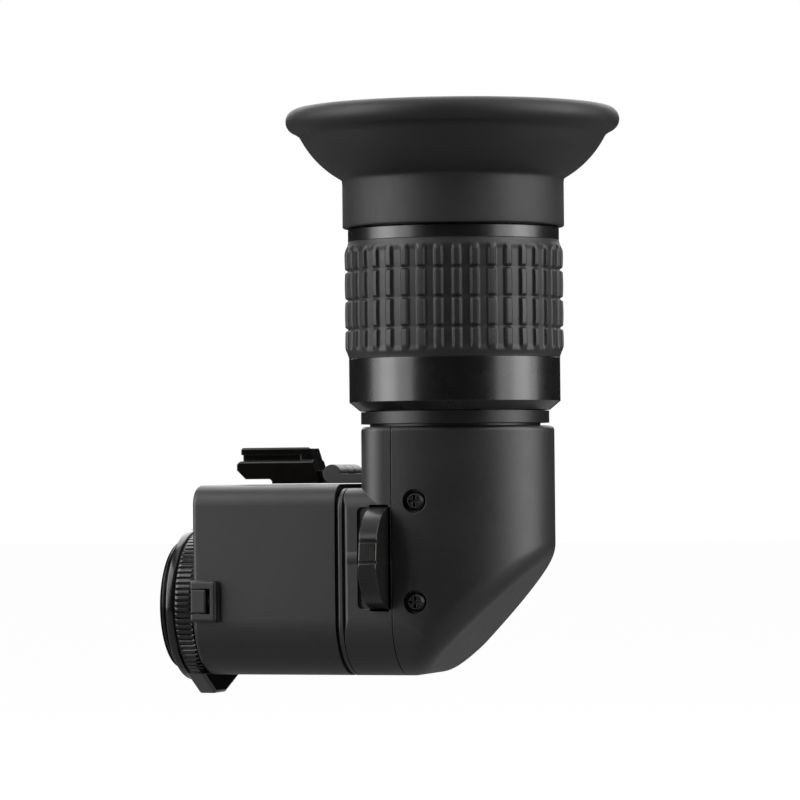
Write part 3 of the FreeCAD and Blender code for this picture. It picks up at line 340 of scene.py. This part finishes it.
clipGloss = {
    "shader": {"Metallic": 0.0, "IOR": 1.5, "Coat Weight": 0.3, "Coat Roughness": 0.08},
    "dark": 0.0022, "light": 0.0040, "warm": 0.16, "toneScale": 120.0,
    "edgeRound": 0.00022, "edgeWidth": 0.0003, "edgeWear": 0.12, "edgePatch": 500.0, "edgeTone": 0.08,
    "dust": 0.02, "dustSpeck": 2600.0,
    "sheenScale": 110.0, "roughLow": 0.07, "roughHigh": 0.12,
    "grainScale": 5000.0, "grainClump": 0.6, "bump": 0.03, "bumpHeight": 0.00001}

leverGloss = dict(clipGloss, dark=0.008, light=0.012, warm=0.04, roughLow=0.22, roughHigh=0.30,
                  edgeRound=0.00018, edgeWear=0.5, edgeTone=0.14, bump=0.08,
                  shader={"Metallic": 0.0, "IOR": 1.5, "Coat Weight": 0.0})

gripRubberLook = {
    "shader": {"Metallic": 0.0, "IOR": 1.48},
    "dark": 0.014, "light": 0.020, "warm": -0.01, "toneScale": 80.0,
    "edgeRound": 0.00013, "edgeWidth": 0.00025, "edgeWear": 0.35, "edgePatch": 400.0, "edgeTone": 0.05,
    "dust": 0.10, "dustSpeck": 1700.0,
    "sheenScale": 100.0, "roughLow": 0.42, "roughHigh": 0.52,
    "grainScale": 7000.0, "grainClump": 0.5, "bump": 0.25, "bumpHeight": 0.00003}

cupRubberLook = {
    "shader": {"Metallic": 0.0, "IOR": 1.5},
    "dark": 0.012, "light": 0.017, "warm": 0.0, "toneScale": 50.0,
    "edgeRound": 0.00015, "edgeWidth": 0.0003, "edgeWear": 0.10, "edgePatch": 260.0, "edgeTone": 0.06,
    "dust": 0.12, "dustSpeck": 1500.0,
    "sheenScale": 60.0, "roughLow": 0.50, "roughHigh": 0.60,
    "grainScale": 6000.0, "grainClump": 0.7, "bump": 0.3, "bumpHeight": 0.00003}

screwBlack = {
    "shader": {"Metallic": 1.0},
    "dark": 0.035, "light": 0.055, "warm": 0.02, "toneScale": 300.0,
    "edgeRound": 0.00004, "edgeWidth": 0.00008, "edgeWear": 0.8, "edgePatch": 900.0, "edgeTone": 0.45,
    "dust": 0.02, "dustSpeck": 3000.0,
    "sheenScale": 400.0, "roughLow": 0.24, "roughHigh": 0.38,
    "grainScale": 12000.0, "grainClump": 0.4, "bump": 0.1, "bumpHeight": 0.00001}

innerBlack = dict(shellPaint, dark=0.006, light=0.010, roughLow=0.55, roughHigh=0.7, edgeWear=0.05)

brightSteel = {
    "shader": {"Metallic": 1.0},
    "dark": 0.42, "light": 0.56, "warm": 0.01, "toneScale": 200.0,
    "edgeRound": 0.00005, "edgeWidth": 0.0001, "edgeWear": 0.4, "edgePatch": 600.0, "edgeTone": 0.7,
    "dust": 0.03, "dustSpeck": 2500.0,
    "sheenScale": 250.0, "roughLow": 0.22, "roughHigh": 0.36,
    "grainScale": 9000.0, "grainClump": 0.3, "bump": 0.1, "bumpHeight": 0.00001}

turnedBrass = dict(brightSteel, dark=0.30, light=0.42, warm=0.35, roughLow=0.25, roughHigh=0.4)


glassLook = {
    "shader": {"Metallic": 0.0, "IOR": 1.52, "Transmission Weight": 1.0},
    "straight": (0.80, 0.93, 0.90, 1.0), "aslant": (0.86, 0.78, 0.95, 1.0), "blend": 0.35,
    "smearScale": 140.0, "smearLow": 0.01, "smearHigh": 0.05}


def coatedGlass():
    # coated glass: the coating's colour turns with the angle
    look = glassLook
    made, tree, shader = startMaterial("coatedGlass", look["shader"])
    facing = add(tree, "ShaderNodeLayerWeight")
    facing.inputs["Blend"].default_value = look["blend"]
    tint = mixColour(tree, facing.outputs["Facing"], look["straight"], look["aslant"])
    tree.links.new(tint, shader.inputs["Base Color"])
    smear = useGroup(tree, "handling", Scale=look["smearScale"], Low=look["smearLow"],
                     High=look["smearHigh"])
    tree.links.new(smear, shader.inputs["Roughness"])
    return made


materials = {
    "black_shell": blackFinish("shellPaint", shellPaint),
    "sleeve_metal": blackFinish("sleeveGloss", sleeveGloss),
    "ring_metal": blackFinish("ringGloss", ringGloss),
    "satin_tube": blackFinish("tubeSatin", tubeSatin),
    "gloss_black": blackFinish("clipGloss", clipGloss),
    "lever_plastic": blackFinish("leverGloss", leverGloss),
    "grip_rubber": blackFinish("gripRubber", gripRubberLook),
    "cup_rubber": blackFinish("cupRubber", cupRubberLook),
    "black_screw": blackFinish("screwBlack", screwBlack),
    "inner_metal": blackFinish("innerBlack", innerBlack),
    "spring_steel": blackFinish("brightSteel", brightSteel),
    "brass_bush": blackFinish("turnedBrass", turnedBrass),
    "optical_glass": coatedGlass()}

for part in frame["record"]["subparts"]:
    mesh = nodes[part["node"]].data
    mesh.materials.clear()
    mesh.materials.append(materials[part["material_slot"]])
print("materials:", len(materials))


# ---------- mesh helpers ----------

def finishPiece(name, mesh, slotName, body, replaced, smoothAngle=35):
    mesh.validate()
    piece = bpy.data.objects.new(name, mesh)
    bpy.context.scene.collection.objects.link(piece)
    mesh.materials.append(materials[slotName])
    mesh.set_sharp_from_angle(angle=math.radians(smoothAngle))
    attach(piece, body)
    if replaced:
        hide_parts(*replaced)
    return piece


def arcPoints(centre, radius, start, end, count):
    # points of an arc in the (radius, height) plane, angles in degrees from the radial direction
    made = []
    for i in range(count + 1):
        a = math.radians(start + (end - start) * i / count)
        made.append((centre[0] + radius * math.cos(a), centre[1] + radius * math.sin(a)))
    return made


def ringMesh(name, rows, segments, radiusAt=None, along="Z", at=(0, 0, 0)):
    # turns a closed (radius, height) outline about an axis; radiusAt may vary the radius with the angle
    verts = []
    for row, (r, h) in enumerate(rows):
        for k in range(segments):
            a = 2 * math.pi * k / segments
            rr = radiusAt(row, r, h, a) if radiusAt else r
            if along == "Z":
                verts.append((at[0] + rr * math.cos(a), at[1] + rr * math.sin(a), at[2] + h))
            else:
                verts.append((at[0] + h, at[1] + rr * math.cos(a), at[2] + rr * math.sin(a)))
    faces = []
    count = len(rows)
    for row in range(count):
        after = (row + 1) % count
        for k in range(segments):
            k2 = (k + 1) % segments
            quad = (row * segments + k, row * segments + k2, after * segments + k2, after * segments + k)
            faces.append(quad)
    mesh = bpy.data.meshes.new(name)
    mesh.from_pydata([tuple(c * mm for c in v) for v in verts], [], faces)
    tool = bmesh.new()
    tool.from_mesh(mesh)
    bmesh.ops.recalc_face_normals(tool, faces=tool.faces)
    tool.to_mesh(mesh)
    tool.free()
    return mesh


def smoothStep(low, high, x):
    t = max(0.0, min(1.0, (x - low) / (high - low)))
    return t * t * (3 - 2 * t)


# ---------- rubber grip ----------

gripShape = {
    "ribs": 38, "perRib": 14, "rowStep": 0.12, "skin": 0.72,
    "ribShare": 0.40, "ribEdge": 0.13,      # share of the pitch that is rib, and its rounded flank
    "depth": 0.48, "taper": 2.1, "endDrop": 0.55, "rim": 0.8, "fade": 1.3,
    "notches": 3, "notchHalf": 0.46, "notchDeep": 0.48, "belly": 0.10}


def makeGrip():
    shape = gripShape
    outer = (gripHigh.x - gripLow.x) / 2 / mm
    length = (gripHigh.z - gripLow.z) / mm
    inner = outer - shape["skin"]
    steps = round(length / shape["rowStep"])
    rows = [(inner, 0.0), (inner, length)]
    insideRows = len(rows)
    rows += [(outer, length - length * i / steps) for i in range(steps + 1)]
    cell = length / (shape["notches"] + 1)
    ribStart = shape["ribShare"] - shape["ribEdge"]
    ribEnd = shape["ribShare"] + shape["ribEdge"]

    def radiusAt(row, r, h, a):
        if row < insideRows:
            return r
        # rib profile round the grip
        turn = (a * shape["ribs"] / (2 * math.pi)) % 1.0
        rib = 1 - smoothStep(ribStart, ribEnd, abs(turn - 0.5) * 2)
        # profile along the grip
        fromEnd = min(h, length - h)
        taper = smoothStep(0.0, shape["taper"], fromEnd)
        ribbed = smoothStep(shape["rim"], shape["rim"] + shape["fade"], fromEnd)
        place = (h / cell) % 1.0
        toNotch = min(place, 1 - place) * cell
        awayFromEnds = cell / 2 < h < length - cell / 2
        notch = (1 - smoothStep(0.0, shape["notchHalf"], toNotch)) if awayFromEnds else 0.0
        belly = 4 * place * (1 - place)
        top = outer - shape["endDrop"] * (1 - taper) - shape["belly"] * (1 - belly)
        low = top - shape["depth"] * ribbed
        return low + (top - low) * rib * (1 - notch * shape["notchDeep"] / shape["depth"])

    mesh = ringMesh("gripRubber", rows, shape["ribs"] * shape["perRib"], radiusAt,
                    at=(eyeAxisX / mm, 0, gripLow.z / mm))
    return finishPiece("gripRubber", mesh, "grip_rubber", "dioptre_ring", ["rubber_grip"], 50)


makeGrip()
print("rubber grip made")


# ---------- screw-on ring ----------

ringShape = {
    "thread": 11.0, "pitch": 0.75, "threadDeep": 0.38, "threadRows": 40, "lead": 0.45, "relief": 0.05,
    "threadIn": 0.12, "rootHalf": 0.12, "fadeIn": 0.15, "fadeOut": 0.12, "fade": 0.35,
    "bore": 7.2, "boreLip": 0.35,
    "flange": 13.0, "flangeLen": 1.5, "flangeRound": 0.4, "roundSteps": 6, "roundEnd": 75,
    "knurl": 12.7, "knurlLen": 3.1, "knurlCount": 80, "perKnurl": 8, "knurlDeep": 0.32, "knurlRows": 14,
    "knurlGap": 0.05, "toothTop": 0.45, "toothFoot": 0.95,      # gap to the flange, and a tooth's shares
    "easeStart": 0.14, "easeEnd": 0.08, "endShare": 0.15, "endDrop": 0.12,      # how the teeth run out
    "hub": 9.2, "hubEnd": 10.8, "clampAt": 7.7, "clampHalf": 1.2, "clampDeep": 1.2}


def makeRing():
    shape = ringShape
    start = ringLow.x / mm
    bore = shape["bore"]
    lip = shape["boreLip"]
    thread = shape["thread"]
    rows = [(bore, shape["hubEnd"]), (bore, start + lip), (bore + lip, start)]
    rows += [(thread - shape["lead"], start)]
    firstThread = len(rows)
    threadFrom = start + shape["threadIn"]
    threadLen = -shape["relief"] - threadFrom
    steps = shape["threadRows"]
    rows += [(thread, threadFrom + threadLen * i / steps) for i in range(steps + 1)]
    lastThread = len(rows)
    rows += [(thread - shape["relief"], 0.0)]
    r = shape["flangeRound"]
    outer = shape["flange"]
    flangeLen = shape["flangeLen"]
    rows += arcPoints((outer - r, r), r, -90, 0, shape["roundSteps"])
    rows += arcPoints((outer - r, flangeLen - r), r, 0, shape["roundEnd"], shape["roundSteps"])
    firstKnurl = len(rows)
    knurlLen = shape["knurlLen"] - shape["knurlGap"]
    for i in range(shape["knurlRows"] + 1):
        along = knurlLen * i / shape["knurlRows"]
        rows.append((shape["knurl"], flangeLen + shape["knurlGap"] + along))
    lastKnurl = len(rows)
    # groove that the lock button's pin drops into
    hub = shape["hub"]
    groove = hub - shape["clampDeep"]
    near = shape["clampAt"] - shape["clampHalf"]
    far = shape["clampAt"] + shape["clampHalf"]
    rows += [(hub, flangeLen + shape["knurlLen"]), (hub, near), (groove, near)]
    rows += [(groove, far), (hub, far), (hub, shape["hubEnd"])]

    def threadRadius(r, h, a):
        # a real helix: the crest climbs one pitch in one turn
        place = ((h / shape["pitch"]) - a / (2 * math.pi)) % 1.0
        cut = 1 - smoothStep(shape["rootHalf"], 0.5, abs(place - 0.5))
        fromEnd = min(h - threadFrom + shape["fadeIn"], shape["fadeOut"] - h)
        return r - shape["threadDeep"] * cut * smoothStep(0.0, shape["fade"], fromEnd)

    def knurlRadius(row, r, a):
        share = (row - firstKnurl) / (lastKnurl - 1 - firstKnurl)
        ease = smoothStep(0.0, shape["easeStart"], share) * smoothStep(0.0, shape["easeEnd"], 1 - share)
        tooth = abs(((a * shape["knurlCount"] / (2 * math.pi)) % 1.0) - 0.5) * 2
        cut = smoothStep(shape["toothTop"], shape["toothFoot"], tooth)
        deep = shape["knurlDeep"] * (shape["endShare"] + (1 - shape["endShare"]) * ease)
        return r - deep * cut - shape["endDrop"] * (1 - ease)

    def radiusAt(row, r, h, a):
        if firstThread <= row < lastThread:
            return threadRadius(r, h, a)
        if firstKnurl <= row < lastKnurl:
            return knurlRadius(row, r, a)
        return r

    mesh = ringMesh("screwRing", rows, shape["knurlCount"] * shape["perKnurl"], radiusAt, along="X")
    return finishPiece("screwRing", mesh, "ring_metal", "camera_mount", ["mounting_ring"], 32)


makeRing()
print("screw-on ring made")


# ---------- eyecup ----------

cupShape = {
    "sleeve": 18.85, "straight": 8.2, "sleeveRows": 6, "foot": 0.3, "footSteps": 5,
    "neckLow": 0.7, "neckMid": 0.3, "neckOut": 0.04, "neckTop": 0.10,      # soft change from sleeve to bowl
    "bowlR": 25.9, "bowlZ": 79.3, "bow": 0.75, "bowlSteps": 24, "underOut": 0.25, "underUp": 0.4,
    "lipOut": 28.4, "lipTube": 2.05, "lipZ": 82.2, "lipFrom": -72, "lipTo": 105, "lipSteps": 26,
    "lipTop": 1.6, "insideIn": 0.9, "insideBow": -0.9, "insideSteps": 26,
    "throat": 16.25, "throatEase": 0.5, "throatOut": 0.12, "throatDrop": 0.2, "throatLow": 1.2,
    "spigot": 17.22, "spigotTop": 66.32, "edge": 0.3,
    "floorHole": 11.0, "floorThick": 1.2, "floorRound": 0.6, "floorSteps": 4, "segments": 256}


def curvePoints(a, b, bow, count):
    # a shallow arc from a to b that bows out to the right of its way by bow
    way = Vector((b[0] - a[0], b[1] - a[1]))
    side = Vector((way.y, -way.x)).normalized()
    made = []
    for i in range(count + 1):
        t = i / count
        p = Vector(a) + way * t + side * (4 * bow * t * (1 - t))
        made.append((p.x, p.y))
    return made


def cupOutside(shape, low, shoulder):
    sleeve = shape["sleeve"]
    edge = shape["edge"]
    foot = shape["foot"]
    spigot = shape["spigot"]
    rows = [(spigot, shape["spigotTop"]), (spigot, low + edge), (spigot + edge, low)]
    rows += arcPoints((sleeve - foot, low + foot), foot, -90, 0, shape["footSteps"])
    count = shape["sleeveRows"]
    rows += [(sleeve, low + shape["straight"] * i / count) for i in range(1, count)]
    rows += [(sleeve, shoulder - shape["neckLow"]), (sleeve + shape["neckOut"], shoulder - shape["neckMid"])]
    bowlEnd = (shape["bowlR"], shape["bowlZ"])
    bowl = curvePoints((sleeve, shoulder), bowlEnd, shape["bow"], shape["bowlSteps"])
    rows += [(sleeve + shape["neckTop"], shoulder)] + bowl[1:]
    rows += [(shape["bowlR"] + shape["underOut"], shape["bowlZ"] + shape["underUp"])]
    return rows


def cupInside(shape, shoulder, lipMiddle):
    throat = shape["throat"]
    step = shape["insideIn"]
    topR = lipMiddle + shape["lipTube"] * math.cos(math.radians(shape["lipTo"]))
    topZ = shape["lipZ"] + shape["lipTop"]
    foot = (throat + shape["throatEase"], shoulder + shape["throatEase"])
    rows = curvePoints((topR - step, topZ - step), foot, shape["insideBow"], shape["insideSteps"])
    rows += [(throat + shape["throatOut"], shoulder - shape["throatDrop"])]
    floor = shape["spigotTop"] + shape["floorThick"]
    r = shape["floorRound"]
    rows += [(throat, shoulder - shape["throatLow"]), (throat, floor + r)]
    rows += arcPoints((throat - r, floor + r), -r, 180, 90, shape["floorSteps"])[1:]
    hole = shape["floorHole"]
    edge = shape["edge"]
    return rows + [(hole + edge, floor), (hole, floor - edge), (hole, shape["spigotTop"])]


def makeEyecup():
    shape = cupShape
    low = cupLow.z / mm
    shoulder = low + shape["straight"]
    lipMiddle = shape["lipOut"] - shape["lipTube"]
    rows = cupOutside(shape, low, shoulder)
    lip = (lipMiddle, shape["lipZ"])
    rows += arcPoints(lip, shape["lipTube"], shape["lipFrom"], shape["lipTo"], shape["lipSteps"])
    rows += cupInside(shape, shoulder, lipMiddle)
    mesh = ringMesh("eyecupRubber", rows, shape["segments"], at=(eyeAxisX / mm, 0, 0))
    return finishPiece("eyecupRubber", mesh, "cup_rubber", "dioptre_ring", ["eyecup"], 60)


makeEyecup()
print("eyecup made")


# ---------- studio ----------

# angles in degrees, the camera's places in mm, those of lights and floor in metres
studio = {
    "azimuth": 17.5, "distance": 765.0, "eyeLevel": 22.9, "aimLevel": 34.8, "aside": 9.35,
    "focal": 202.5, "roll": 0.55, "sensor": 36.0, "clipStart": 0.05, "clipEnd": 50.0,
    "middle": 0.04, "aimShare": 0.6,
    "boxAngle": 73.0, "boxDistance": 0.55, "boxWide": 0.62, "boxHigh": 0.68, "boxLevel": 0.25,
    "boxPower": 3.5, "coreAngle": 77.0, "coreWide": 0.22, "corePower": 1.15, "coreAhead": 0.02,
    "topPower": 1.0, "topSize": 0.6, "topHeight": 0.6, "topAhead": 0.1, "worldGrey": 0.016,
    "rearTilt": 42.0, "rearDistance": 0.6, "rearSize": 0.7, "rearPower": 5.0,
    "floorGap": 0.002, "floorHalf": 6.0, "floorBounce": 0.16, "floorRough": 0.7, "floorGlow": 0.98}


def makeCamera():
    s = studio
    turn = math.radians(s["azimuth"])
    right = Vector((math.cos(turn), math.sin(turn), 0))
    back = Vector((math.sin(turn), -math.cos(turn), 0))
    axis = Vector((eyeAxisX, 0, 0))
    camera = bpy.data.objects.new("camera", bpy.data.cameras.new("camera"))
    camera.location = axis + back * s["distance"] * mm + Vector((0, 0, s["eyeLevel"] * mm))
    target = axis - right * s["aside"] * mm + Vector((0, 0, s["aimLevel"] * mm))
    look = (target - camera.location).to_track_quat("-Z", "Y")
    spin = Matrix.Rotation(math.radians(-s["roll"]), 4, "Z")
    camera.rotation_euler = (look.to_matrix().to_4x4() @ spin).to_euler()
    camera.data.lens = s["focal"]
    camera.data.sensor_width = s["sensor"]
    camera.data.clip_start = s["clipStart"]
    camera.data.clip_end = s["clipEnd"]
    camera.data.dof.use_dof = False
    bpy.context.scene.collection.objects.link(camera)
    bpy.context.scene.camera = camera
    return right, back


def softBox(name, place, target, wide, high, power):
    light = bpy.data.lights.new(name, "AREA")
    light.shape = "RECTANGLE"
    light.size = wide
    light.size_y = high
    light.energy = power
    holder = bpy.data.objects.new(name, light)
    holder.location = place
    holder.rotation_euler = (Vector(target) - Vector(place)).to_track_quat("-Z", "Y").to_euler()
    bpy.context.scene.collection.objects.link(holder)


def makeStudio():
    s = studio
    right, back = makeCamera()
    centre = Vector((eyeAxisX, 0, s["middle"]))
    # a wide box and a narrow brighter one in front of it, on either side
    boxes = (("box", s["boxAngle"], 0.0, s["boxWide"], s["boxPower"]),
             ("core", s["coreAngle"], s["coreAhead"], s["coreWide"], s["corePower"]))
    for name, angle, ahead, wide, power in boxes:
        turn = math.radians(angle)
        for label, side in (("Left", -1), ("Right", 1)):
            way = right * side * math.sin(turn) + back * math.cos(turn)
            place = centre + way * (s["boxDistance"] - ahead) + Vector((0, 0, s["boxLevel"]))
            aim = Vector((centre.x, centre.y, place.z * s["aimShare"]))
            softBox(name + label, place, aim, wide, s["boxHigh"], power)
    above = centre + Vector((0, 0, s["topHeight"])) + back * s["topAhead"]
    softBox("boxTop", above, centre, s["topSize"], s["topSize"], s["topPower"])
    # a weak light high behind, so that the far side is readable too
    tilt = math.radians(s["rearTilt"])
    behind = centre + (Vector((0, 0, math.sin(tilt))) - back * math.cos(tilt)) * s["rearDistance"]
    softBox("boxRear", behind, centre, s["rearSize"], s["rearSize"], s["rearPower"])


def makeWorld():
    # the camera sees plain white, everything else a dim room
    world = bpy.data.worlds.new("studioWorld")
    bpy.context.scene.world = world
    world.use_nodes = True
    tree = world.node_tree
    tree.nodes.clear()
    path = add(tree, "ShaderNodeLightPath")
    room = add(tree, "ShaderNodeBackground")
    room.inputs["Color"].default_value = grey(studio["worldGrey"])
    paper = add(tree, "ShaderNodeBackground")
    paper.inputs["Color"].default_value = (1, 1, 1, 1)
    blend = add(tree, "ShaderNodeMixShader")
    out = add(tree, "ShaderNodeOutputWorld")
    tree.links.new(path.outputs["Is Camera Ray"], blend.inputs[0])
    tree.links.new(room.outputs[0], blend.inputs[1])
    tree.links.new(paper.outputs[0], blend.inputs[2])
    tree.links.new(blend.outputs[0], out.inputs["Surface"])


def makeFloor():
    # pale floor that the camera sees as white
    s = studio
    finish = {"Base Color": grey(s["floorBounce"]), "Roughness": s["floorRough"]}
    made, tree, shader = startMaterial("paleFloor", finish)
    path = add(tree, "ShaderNodeLightPath")
    glow = add(tree, "ShaderNodeEmission")
    glow.inputs["Strength"].default_value = s["floorGlow"]
    blend = add(tree, "ShaderNodeMixShader")
    tree.links.new(path.outputs["Is Camera Ray"], blend.inputs[0])
    tree.links.new(shader.outputs[0], blend.inputs[1])
    both = add(tree, "ShaderNodeAddShader")
    tree.links.new(glow.outputs[0], both.inputs[0])
    tree.links.new(shader.outputs[0], both.inputs[1])
    tree.links.new(both.outputs[0], blend.inputs[2])
    tree.links.new(blend.outputs[0], tree.nodes["Material Output"].inputs["Surface"])
    half = s["floorHalf"]
    # low enough for the finder to turn right round its ring above it
    reach = math.hypot(cupHigh.z, cupHigh.y)
    low = -reach - s["floorGap"]
    mesh = bpy.data.meshes.new("paleFloor")
    corners = [(-half, -half, low), (half, -half, low), (half, half, low), (-half, half, low)]
    mesh.from_pydata(corners, [], [(0, 1, 2, 3)])
    mesh.materials.append(made)
    floor = bpy.data.objects.new("paleFloor", mesh)
    bpy.context.scene.collection.objects.link(floor)


makeStudio()
makeWorld()
makeFloor()
bpy.context.scene.view_settings.view_transform = "Standard"
print("studio made")
